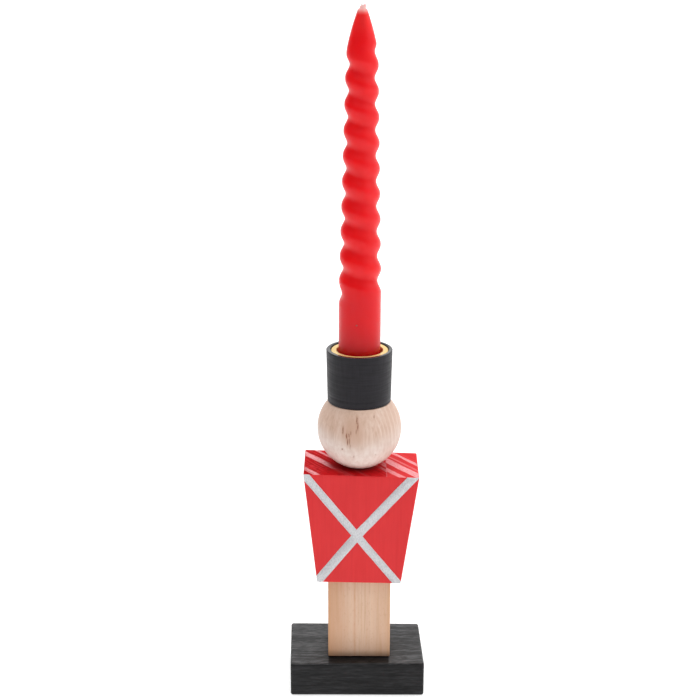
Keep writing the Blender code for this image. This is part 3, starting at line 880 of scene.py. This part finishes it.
def make_hat():
    """The turned hat with the socket and the recess for the cup, and a scribed line near its foot."""
    _, rim_radius, bottom, top = round_node("hat_block")
    _, flange_radius, cup_foot, cup_top = round_node("candle_cup")
    clear = flange_radius + GAP
    recess = cup_top - CUP_FLANGE_THICKNESS - GAP
    socket = CUP_BORE_RADIUS + CUP_WALL + GAP
    foot = (HAT_FOOT_RADIUS - HAT_FOOT_EDGE, bottom + HAT_FOOT_EDGE)
    rim = (rim_radius - HAT_RIM_EDGE, top - HAT_RIM_EDGE)
    line = bottom + 4.2 * MM
    slope = (rim_radius - HAT_FOOT_RADIUS) / (top - bottom)

    def wall(height, inset=0.0):
        return (HAT_FOOT_RADIUS + slope * (height - bottom) - inset, height)

    profile = [
        *arc(foot, HAT_FOOT_EDGE, -math.pi / 2, 0, 5),
        *[wall(height) for height in even(foot[1], line - 0.3 * MM, 4)[1:-1]],
        wall(line - 0.22 * MM),
        wall(line, 0.07 * MM),
        wall(line + 0.22 * MM),
        *[wall(height) for height in even(line, rim[1], 24)[1:-1]],
        *arc(rim, HAT_RIM_EDGE, 0, math.pi / 2, 10),
        (clear + 0.15 * MM, top),
        (clear, top - 0.15 * MM),
        (clear, recess),
        (socket, recess),
        (socket, cup_foot - GAP),
    ]
    shape = turned(profile)
    for vertex in shape.verts:
        out = Vector((vertex.co.x - STACK_X, vertex.co.y, 0))
        if out.length > flange_radius + 1 * MM:
            fuller = HAT_FULLER * max(-out.x / out.length, 0.0)
            vertex.co += out.normalized() * (fuller - 0.04 * MM * (1 + ripple(vertex.co, 7 * MM, 9)))
    split_top(shape, UP)
    obj = add_object("hat_wood", shape, black_paint("black_paint", 0.27, 0.56, 0.42), 50)
    obj.data.materials.append(black_paint("black_paint_top", 1.0, 0.28, 0.18))
    cut(obj, [cup_screw_hole()])
    place(obj, "holder", "black_painted_wood", "hat_block")


def make_cup():
    """The pressed brass cup: a flat floor, a straight wall, and a flange with a rolled inner lip."""
    _, flange, foot, top = round_node("candle_cup")
    hole = CUP_SCREW_SHANK + GAP
    inner, outer = CUP_BORE_RADIUS, CUP_BORE_RADIUS + CUP_WALL
    floor = foot + CUP_WALL
    under = top - CUP_FLANGE_THICKNESS
    lip = 0.5 * MM
    corner = 1.2 * MM
    edge = 0.45 * MM
    profile = [
        (hole, foot),
        *arc((outer - corner, foot + corner), corner, -math.pi / 2, 0, 6),
        *[(outer, z) for z in even(foot + corner, under, 8)[1:]],
        (flange - 0.1 * MM, under),
        *arc((flange - edge, top - edge), edge, 0, math.pi / 2, 8),
        (inner + lip + 0.4 * MM, top - 0.04 * MM),
        *arc((inner + lip, top - lip), lip, math.pi / 2, math.pi, 7),
        *[(inner, z) for z in even(top - lip, floor + corner, 8)[1:-1]],
        *arc((inner - corner, floor + corner), corner, 0, -math.pi / 2, 6),
        (hole, floor),
    ]
    obj = add_object("cup_brass", turned(profile, closed=True), brass(), 40)
    place(obj, "holder", "brass_plate", "candle_cup")


# ---- hidden fasteners


def cross_recess(x, top, direction, reach, depth):
    """Two tapered slots that cross at (x, 0), sunk from top; direction is 1 if the head faces up."""
    cutters = []
    for turn in (0, math.pi / 2):
        rings = []
        for share in (0.4, 0.0, -1.0):
            narrow = 1.0 + 0.45 * min(share, 0.0)
            length = reach * narrow
            half = 0.30 * MM * narrow
            z = top + direction * share * depth
            corners = [(-length, -half), (length, -half), (length, half), (-length, half)]
            points = [Matrix.Rotation(turn, 2) @ Vector(c) for c in corners]
            rings.append([(x + p.x, p.y, z) for p in points])
        cutters.append(loft(rings[::-1] if direction > 0 else rings))
    return cutters


def thread(core, crest, pitch, start, stop):
    """A radius function for a screw's thread, which fades in from start and ends in a point at stop."""
    run_in = math.copysign(1.5 * pitch, stop - start)

    def radius(angle, height):
        turn = (height / pitch - angle / math.tau) % 1.0
        ridge = max(0.0, 1 - abs(turn - 0.5) * 4) * smooth_step((height - start) / run_in)
        point = smooth_step(abs(stop - height) / (4 * MM))
        return (core + (crest - core) * ridge) * (0.12 + 0.88 * point)

    return radius


def make_base_screws(steel):
    """Countersunk screws whose heads are sunk into the underside of the base."""
    for name in BASE_SCREWS:
        x, head, foot, tip = round_node(name)
        neck = foot + head - BASE_SCREW_NECK
        body = thread(1.3 * MM, 1.95 * MM, 1.6 * MM, 12 * MM, tip)
        profile = [(head - 0.2 * MM, foot), (head, foot + 0.15 * MM), (BASE_SCREW_NECK, neck)]
        profile += [(body, z) for z in even(neck, tip, round((tip - neck) / THREAD_STEP))[1:]]
        obj = add_object(name.replace("screw", "zinc"), turned(profile, 32, x), steel, 50)
        cut(obj, cross_recess(x, foot, -1, 2.2 * MM, 1.7 * MM))
        place(obj, "holder", "zinc_steel", name)


def make_cup_screw(steel):
    """The pan-head screw in the floor of the cup."""
    _, head, tip, top = round_node("cup_screw")
    under = top - 1.4 * MM
    edge = 0.8 * MM
    body = thread(1.2 * MM, 1.75 * MM, 1.4 * MM, under - 3 * MM, tip)
    profile = [(body, z) for z in even(tip, under, round((under - tip) / THREAD_STEP))[:-1]]
    profile += [(1.5 * MM, under), (head, under), *arc((head - edge, top - edge), edge, 0, math.pi / 2, 6)]
    obj = add_object("cup_zinc", turned(profile, 32), steel, 50)
    cut(obj, cross_recess(STACK_X, top, 1, 2.0 * MM, 1.0 * MM))
    place(obj, "holder", "zinc_steel", "cup_screw")


def make_dowels(wood):
    """Fluted dowels with chamfered ends."""
    for name in (*LEG_DOWELS, "neck_dowel"):
        x, outer, foot, top = round_node(name)
        inner = outer - 0.8 * MM
        flutes = round(math.tau * outer / (1.0 * MM))

        def fluted(angle, _height, outer=outer, flutes=flutes):
            return outer - 0.16 * MM * (0.5 + 0.5 * math.cos(flutes * angle)) ** 2

        profile = [(inner, foot), (fluted, foot + 0.8 * MM), (fluted, top - 0.8 * MM), (inner, top)]
        obj = add_object(name.replace("dowel", "peg"), turned(profile, flutes * 6, x), wood, 25)
        place(obj, "holder", "beech", name)


# ---- candle


def wax_radius(angle, height):
    """The candle's radius at an angle about its axis and a height above its foot."""
    crest = CANDLE_RADIUS - TAPER_SLOPE * max(height - TAPER_FROM, 0.0)
    turn = (height - SPIRAL_TOP_GROOVE) / SPIRAL_PITCH + angle / math.tau
    groove = SPIRAL_DEPTH * (0.5 + 0.5 * math.cos(math.tau * turn)) ** 1.15
    middle = height - (turn - round(turn)) * SPIRAL_PITCH  # the height of the nearest groove's middle
    groove *= smooth_step((middle - GROOVE_START[0]) / (GROOVE_START[1] - GROOVE_START[0]))
    groove *= 1 - smooth_step((middle - GROOVE_END[0]) / (GROOVE_END[1] - GROOVE_END[0]))
    below = CANDLE_LENGTH - height
    cone = TIP_RADIUS + below * (CONE_SLOPE - CONE_CURVE * min(below, 25 * MM))
    return soft_min(crest - groove, cone, CONE_BLEND)


def candle_frame():
    """From the candle's own frame, with its foot at the origin, to the world."""
    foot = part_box("cup_screw")[1].z + GAP
    return Matrix.Translation((CANDLE_X, 0, foot)) @ Matrix.Rotation(CANDLE_LEAN, 4, "Y")


def make_wax():
    """The spiral taper with its wick bore, and the thin lip of wax that climbs the wick."""

    def surface(angle, height):
        spot = (math.cos(angle) * 11 * MM, math.sin(angle) * 11 * MM, height)
        return wax_radius(angle, height) + 0.05 * MM * ripple(spot, 8 * MM, 4)

    def lip(angle, height):
        share = (height - CANDLE_LENGTH) / LIP_HEIGHT
        uneven = 0.15 * MM * math.cos(angle - 0.4) + 0.12 * MM * math.cos(3 * angle + 1.0)
        return TIP_RADIUS - (TIP_RADIUS - LIP_RADIUS) * smooth_step(share * 2.2) ** 0.7 + uneven * share

    edge = 0.7 * MM
    flat = CANDLE_RADIUS - edge
    top = CANDLE_LENGTH + LIP_HEIGHT
    rows = round((CANDLE_LENGTH - edge) / WAX_STEP)
    turns = (0.4, 0.8, 1.2, math.pi / 2)
    profile = [(WICK_BORE, 0.0), (flat, 0.0)]
    profile += [(flat + edge * math.sin(turn), edge - edge * math.cos(turn)) for turn in turns]
    profile += [(surface, z) for z in even(edge, CANDLE_LENGTH, rows)[1:]]
    profile += [(lip, z) for z in even(CANDLE_LENGTH, top, 9)[1:]]
    profile += [(1.15 * MM, top + 0.05 * MM), (WICK_BORE, top - 0.25 * MM)]
    shape = turned(profile, WAX_SEGMENTS, 0.0, closed=True)
    for vertex in shape.verts:
        high = smooth_step((vertex.co.z - CANDLE_LENGTH - 0.6 * MM) / LIP_HEIGHT)
        vertex.co.z += high * 0.5 * MM * smooth_step((vertex.co.x - 0.1 * MM) / (0.9 * MM))
        vertex.co.z -= high * 0.5 * MM * smooth_step((-0.2 * MM - vertex.co.x) / (0.9 * MM))
    shape.transform(candle_frame())
    obj = add_object("wax_taper", shape, red_wax(candle_frame().translation.z), 60)
    place(obj, "candle", "red_wax", "candle_wax")


def strand(phase, top, lean):
    """One of the wick's twisted strands, which bends outwards at its cut end."""
    rings = []
    for height in even(GAP, top, 420):
        angle = phase + math.tau * height / (4.5 * MM)
        splay = smooth_step((height - CANDLE_LENGTH - 1.2 * MM) / (1.6 * MM))
        centre = Vector((math.cos(angle), math.sin(angle))) * 0.40 * MM + Vector(lean) * splay * 0.5 * MM
        rings.append(ring(0.42 * MM * (1 - 0.25 * splay), height, 12, centre))
    return rings


def make_wick():
    """Three twisted strands that run the length of the candle, with a few loose fibres at the top."""
    top = CANDLE_LENGTH + 2.75 * MM
    shape = bmesh.new()
    parts = [strand(0.3, top, (-1.0, 0.1)), strand(2.4, top - 0.25 * MM, (-0.2, 0.9))]
    parts.append(strand(4.5, top - 0.5 * MM, (0.5, -0.6)))
    for k in range(14):
        angle = k * 2.4
        start = CANDLE_LENGTH + 1.5 * MM + 0.06 * MM * k
        out = 0.55 + 0.25 * math.sin(k * 1.7)
        rings = []
        for share in even(0, 1, 6):
            radius = (0.55 + out * share**1.5) * MM
            turn = angle + share * 0.5
            spot = (radius * math.cos(turn) - 0.25 * MM, radius * math.sin(turn))
            height = min(start + share * 0.9 * MM, top)
            rings.append(ring(0.035 * MM * (1.2 - share), height, 5, spot))
        parts.append(rings)
    for rings in parts:
        piece = loft(rings)
        mesh = bpy.data.meshes.new("strand")
        piece.to_mesh(mesh)
        piece.free()
        shape.from_mesh(mesh)
        bpy.data.meshes.remove(mesh)
    shape.transform(candle_frame())
    obj = add_object("wick_stub", shape, cotton(candle_frame().translation.z), 60)
    place(obj, "candle", "cotton_wick", "candle_wick")


# ---- studio


CAMERA_AIM = Vector((-4.41 * MM, 0.0, 196.14 * MM))
CAMERA_DISTANCE = 0.800
CAMERA_DOWN = math.radians(17.41)
CAMERA_ROLL = math.radians(0.15)
CAMERA_LENS = 76.47  # millimetres, on a sensor 36 mm wide

WALL_BRIGHT = 1.05
WALL_DARK = 0.16
WALL_TOWARDS = Vector((0.64, 0.73, 0.0))  # the bright walls are to the right and behind
WALL_RANGE = (-0.50, 0.75)
CEILING_BRIGHT = 2.8
CEILING_RANGE = (math.sin(math.radians(47)), math.sin(math.radians(65)))


def make_camera():
    """The camera in front of the figure, looking down at it from a little above."""
    data = bpy.data.cameras.new("camera")
    data.lens = CAMERA_LENS
    data.sensor_width = 36.0
    data.clip_start = 0.05
    data.clip_end = 30.0
    camera = bpy.data.objects.new("camera", data)
    bpy.context.scene.collection.objects.link(camera)
    tilt = Matrix.Rotation(math.pi / 2 - CAMERA_DOWN, 4, "X") @ Matrix.Rotation(CAMERA_ROLL, 4, "Z")
    back = Matrix.Translation((0, 0, CAMERA_DISTANCE))
    camera.matrix_world = Matrix.Translation(CAMERA_AIM) @ tilt @ back
    bpy.context.scene.camera = camera


def make_floor():
    shape = bmesh.new()
    bmesh.ops.create_grid(shape, x_segments=8, y_segments=8, size=9.0)
    glow = {"emission": (1, 1, 1, 1), "emission_strength": 0.55}
    m = Shader("studio_floor", specular=0.2, roughness=0.8, **glow)
    patches = m.noise((3, 3, 3), 2.0)
    colour = m.ramp(patches, (0.3, (0.64, 0.64, 0.64)), (0.7, (0.66, 0.66, 0.66)))
    m.feed(m.surface.inputs["Base Color"], colour)
    floor = add_object("studio_floor", shape, m.material)
    floor.location.z = -0.05 * MM


def make_world():
    """A studio with a bright ceiling, pale walls to the right and behind, and dark ones in front."""
    world = bpy.data.worlds.new("studio")
    bpy.context.scene.world = world
    world.use_nodes = True
    nodes, links = world.node_tree.nodes, world.node_tree.links
    nodes.clear()
    where = nodes.new("ShaderNodeTexCoord").outputs["Generated"]

    def brightness(direction, span, low, high):
        """From low to high as the view turns towards a direction."""
        towards = nodes.new("ShaderNodeVectorMath")
        towards.operation = "DOT_PRODUCT"
        towards.inputs[1].default_value = direction
        links.new(where, towards.inputs[0])
        made = nodes.new("ShaderNodeMapRange")
        made.interpolation_type = "SMOOTHSTEP"
        links.new(towards.outputs["Value"], made.inputs["Value"])
        for key, value in zip(("From Min", "From Max", "To Min", "To Max"), (*span, low, high)):
            if isinstance(value, bpy.types.NodeSocket):
                links.new(value, made.inputs[key])
            else:
                made.inputs[key].default_value = value
        return made.outputs["Result"]

    walls = brightness(WALL_TOWARDS, WALL_RANGE, WALL_DARK, WALL_BRIGHT)
    room = nodes.new("ShaderNodeBackground")
    bright = brightness(UP, CEILING_RANGE, walls, CEILING_BRIGHT)
    links.new(bright, room.inputs["Strength"])
    plain = nodes.new("ShaderNodeBackground")
    either = nodes.new("ShaderNodeMixShader")
    links.new(nodes.new("ShaderNodeLightPath").outputs["Is Camera Ray"], either.inputs["Fac"])
    links.new(room.outputs["Background"], either.inputs[1])
    links.new(plain.outputs["Background"], either.inputs[2])
    for background in (room, plain):
        background.inputs["Color"].default_value = (1, 1, 1, 1)
    links.new(either.outputs["Shader"], nodes.new("ShaderNodeOutputWorld").inputs["Surface"])


def make_light():
    """A soft square light, high on the right and in front, aimed at the middle of the object."""
    data = bpy.data.lights.new("key_right", "AREA")
    data.shape = "RECTANGLE"
    data.size = data.size_y = 1.2
    data.energy = 2
    light = bpy.data.objects.new("key_right", data)
    bpy.context.scene.collection.objects.link(light)
    light.location = (1.30, -0.50, 1.10)
    aim = Vector((0, 0, 0.19)) - light.location
    light.rotation_euler = aim.to_track_quat("-Z", "Y").to_euler()
    light.visible_camera = False


def main():
    make_camera()
    make_base()
    make_leg()
    make_torso()
    make_belts()
    make_head()
    make_hat()
    make_cup()
    steel = zinc()
    make_base_screws(steel)
    make_cup_screw(steel)
    make_dowels(beech())
    make_wax()
    make_wick()
    make_floor()
    make_world()
    make_light()
    bpy.context.scene.view_settings.view_transform = "Standard"


main()
